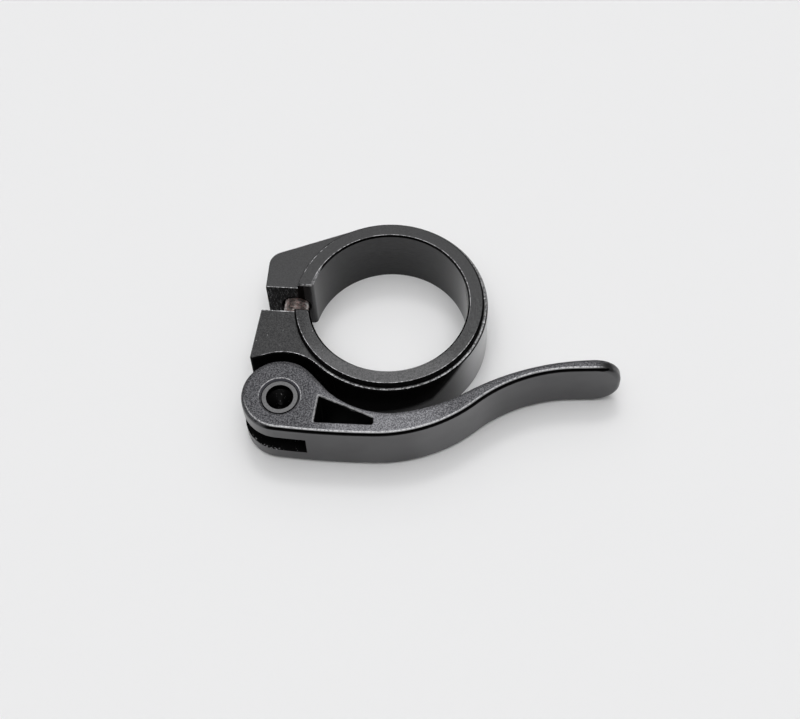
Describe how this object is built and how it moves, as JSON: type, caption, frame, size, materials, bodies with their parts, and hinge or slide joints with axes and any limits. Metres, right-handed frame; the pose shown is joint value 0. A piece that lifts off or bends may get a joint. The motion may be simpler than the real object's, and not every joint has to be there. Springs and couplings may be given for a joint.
{
  "type": "seatpost clamp",
  "caption": "Quick-release seatpost clamp: a split collar with lugs, closed by a cam lever on a barrel nut and an adjusting bolt.",
  "frame": {"origin": "on the bore axis, at the collar's bottom face", "axes": "+Z along the bore towards the raised rim, -X towards the lugs and their slit, bolt along Y with its head at +Y and the lever at -Y"},
  "size_m": [0.0739, 0.0494, 0.0142],
  "materials": {
    "collar_black": "satin black anodised",
    "lever_black": "black anodised over a fine blasted grain",
    "nut_dark": "blackened, worn grey on its end rings",
    "bolt_steel": "plain steel with a reddish-brown residue on its thread"
  },
  "bodies": {
    "collar": {"collar": "collar_black"},
    "bolt": {"bolt": "bolt_steel"},
    "nut": {"barrel_nut": "nut_dark"},
    "lever": {"lever": "lever_black"}
  },
  "joints": [
    {"name": "bolt_turn", "type": "hinge", "parent": "collar", "child": "bolt", "pos_m": [-0.0195, 0, 0.00645], "axis": [0, -1, 0], "range_deg": [-1081, 541]},
    {"name": "nut_travel", "type": "slide", "parent": "collar", "child": "nut", "axis": [0, 1, 0], "range_m": [-0.0024, 0.0012]},
    {"name": "lever_swing", "type": "hinge", "parent": "nut", "child": "lever", "pos_m": [-0.0195, -0.02223, 0.00645], "axis": [0, 0, -1], "range_deg": [0, 160]}
  ],
  "couplings": [
    {"joint": "bolt_turn", "follows": "nut_travel", "rad_per_m": 7854}
  ]
}
